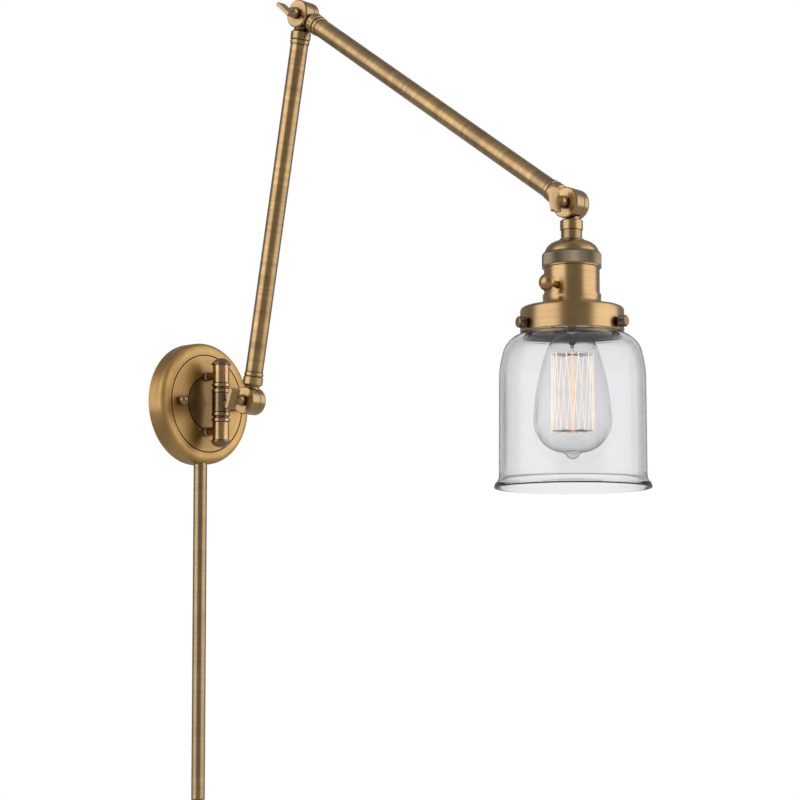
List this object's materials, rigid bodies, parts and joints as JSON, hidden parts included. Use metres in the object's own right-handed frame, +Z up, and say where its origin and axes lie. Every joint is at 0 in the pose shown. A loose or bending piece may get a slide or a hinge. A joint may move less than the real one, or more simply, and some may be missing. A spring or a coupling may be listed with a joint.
{
  "type": "swing arm wall sconce",
  "caption": "Wall sconce: round canopy with a vertical hinge post, jointed tube arms with wing-screw knuckles, and a lamp holder carrying a clear glass bell shade.",
  "frame": {"origin": "centre of the canopy's seat on the wall", "axes": "+Z up, -Y out of the wall into the room, +X to the right when facing the wall"},
  "size_m": [0.1282, 0.5092, 0.7312],
  "materials": {
    "canopy": "antique brushed",
    "mounting_bar": "zinc plated",
    "canopy_studs": "zinc plated",
    "ball_nuts": "antique brushed",
    "ground_screw": "green plated",
    "standoffs": "antique brushed",
    "standoff_nuts": "zinc plated",
    "upper_barrel": "antique brushed",
    "lower_barrel": "antique brushed",
    "hinge_pin": "zinc plated",
    "post_caps": "antique brushed",
    "post_washers": "dark antique",
    "cord_tube": "antique brushed",
    "cord_tube_collar": "antique brushed",
    "cord_tube_bushing": "smooth insulation",
    "wire_connectors": "moulded",
    "canopy_leads": "smooth insulation",
    "swivel_barrel": "dark antique",
    "shoulder_knuckle": "antique brushed",
    "lower_arm_start_knuckle": "antique brushed",
    "lower_arm_end_knuckle": "antique brushed",
    "lower_arm_tube": "antique brushed",
    "lower_arm_ferrules": "antique brushed",
    "lower_arm_leads": "smooth insulation",
    "upper_arm_start_knuckle": "antique brushed",
    "upper_arm_end_knuckle": "antique brushed",
    "upper_arm_tube": "antique brushed",
    "upper_arm_ferrules": "antique brushed",
    "upper_arm_leads": "smooth insulation",
    "lamp_knuckle": "antique brushed",
    "holder_bushing": "antique brushed",
    "threaded_nipple": "zinc plated",
    "holder_cap": "antique brushed",
    "knurled_ring": "dark antique",
    "holder_shell": "antique brushed",
    "insulating_liner": "pressed fibre",
    "holder_core": "moulded resin",
    "screw_shell": "antique brushed",
    "centre_contact": "antique brushed",
    "socket_leads": "smooth insulation",
    "shade_gallery": "antique brushed",
    "glass_shade": "clear",
    "bulb_glass": "clear",
    "bulb_cap": "antique brushed",
    "bulb_contact": "solder",
    "bulb_stem": "clear",
    "filament": "glowing wire",
    "filament_hooks": "bare wire",
    "shoulder_wing_screw": "antique brushed",
    "elbow_wing_screw": "antique brushed",
    "lamp_wing_screw": "antique brushed",
    "switch_knob": "antique brushed",
    "shade_screw_front": "antique brushed",
    "shade_screw_right": "antique brushed",
    "shade_screw_left": "antique brushed"
  },
  "bodies": {
    "wall_side": {"canopy": "canopy", "mounting_bar": "mounting_bar", "canopy_studs": "canopy_studs", "ball_nuts": "ball_nuts", "ground_screw": "ground_screw", "standoffs": "standoffs", "standoff_nuts": "standoff_nuts", "upper_barrel": "upper_barrel", "lower_barrel": "lower_barrel", "hinge_pin": "hinge_pin", "post_caps": "post_caps", "post_washers": "post_washers", "cord_tube": "cord_tube", "cord_tube_collar": "cord_tube_collar", "cord_tube_bushing": "cord_tube_bushing", "wire_connectors": "wire_connectors", "canopy_leads": "canopy_leads"},
    "swivel": {"swivel_barrel": "swivel_barrel", "shoulder_knuckle": "shoulder_knuckle"},
    "lower_arm": {"lower_arm_start_knuckle": "lower_arm_start_knuckle", "lower_arm_end_knuckle": "lower_arm_end_knuckle", "lower_arm_tube": "lower_arm_tube", "lower_arm_ferrules": "lower_arm_ferrules", "lower_arm_leads": "lower_arm_leads"},
    "upper_arm": {"upper_arm_start_knuckle": "upper_arm_start_knuckle", "upper_arm_end_knuckle": "upper_arm_end_knuckle", "upper_arm_tube": "upper_arm_tube", "upper_arm_ferrules": "upper_arm_ferrules", "upper_arm_leads": "upper_arm_leads"},
    "lamp_head": {"lamp_knuckle": "lamp_knuckle", "holder_bushing": "holder_bushing", "threaded_nipple": "threaded_nipple", "holder_cap": "holder_cap", "knurled_ring": "knurled_ring", "holder_shell": "holder_shell", "insulating_liner": "insulating_liner", "holder_core": "holder_core", "screw_shell": "screw_shell", "centre_contact": "centre_contact", "socket_leads": "socket_leads", "shade_gallery": "shade_gallery", "glass_shade": "glass_shade", "bulb_glass": "bulb_glass", "bulb_cap": "bulb_cap", "bulb_contact": "bulb_contact", "bulb_stem": "bulb_stem", "filament": "filament", "filament_hooks": "filament_hooks"},
    "shoulder_screw": {"shoulder_wing_screw": "shoulder_wing_screw"},
    "elbow_screw": {"elbow_wing_screw": "elbow_wing_screw"},
    "lamp_screw": {"lamp_wing_screw": "lamp_wing_screw"},
    "knob": {"switch_knob": "switch_knob"},
    "shade_screw_a": {"shade_screw_front": "shade_screw_front"},
    "shade_screw_b": {"shade_screw_right": "shade_screw_right"},
    "shade_screw_c": {"shade_screw_left": "shade_screw_left"}
  },
  "joints": [
    {"name": "post_swivel", "type": "hinge", "parent": "wall_side", "child": "swivel", "pos_m": [0, -0.0373, -0.0006], "axis": [0, 0, 1], "range_deg": [-50, 75]},
    {"name": "shoulder_pivot", "type": "hinge", "parent": "swivel", "child": "lower_arm", "pos_m": [0, -0.0757, -0.0019], "axis": [1, 0, 0], "range_deg": [-10, 80]},
    {"name": "elbow_pivot", "type": "hinge", "parent": "lower_arm", "child": "upper_arm", "pos_m": [0, -0.142, 0.3486], "axis": [-1, 0, 0], "range_deg": [0, 110]},
    {"name": "lamp_pivot", "type": "hinge", "parent": "upper_arm", "child": "lamp_head", "pos_m": [0, -0.4451, 0.1323], "axis": [-1, 0, 0], "range_deg": [-50, 100]},
    {"name": "shoulder_screw_turn", "type": "hinge", "parent": "lower_arm", "child": "shoulder_screw", "pos_m": [0, -0.0757, -0.0019], "axis": [1, 0, 0], "continuous": true},
    {"name": "elbow_screw_turn", "type": "hinge", "parent": "upper_arm", "child": "elbow_screw", "pos_m": [0, -0.142, 0.3486], "axis": [1, 0, 0], "continuous": true},
    {"name": "lamp_screw_turn", "type": "hinge", "parent": "lamp_head", "child": "lamp_screw", "pos_m": [0, -0.4451, 0.1323], "axis": [1, 0, 0], "continuous": true},
    {"name": "switch_turn", "type": "hinge", "parent": "lamp_head", "child": "knob", "pos_m": [0, -0.4451, 0.0625], "axis": [-0.9962, -0.0872, 0], "continuous": true},
    {"name": "shade_screw_front_turn", "type": "hinge", "parent": "lamp_head", "child": "shade_screw_a", "pos_m": [0, -0.4451, 0.0317], "axis": [0.1132, -0.9936, 0], "continuous": true},
    {"name": "shade_screw_right_turn", "type": "hinge", "parent": "lamp_head", "child": "shade_screw_b", "pos_m": [0, -0.4451, 0.0317], "axis": [0.8039, 0.5948, 0], "continuous": true},
    {"name": "shade_screw_left_turn", "type": "hinge", "parent": "lamp_head", "child": "shade_screw_c", "pos_m": [0, -0.4451, 0.0317], "axis": [-0.9171, 0.3987, 0], "continuous": true}
  ]
}
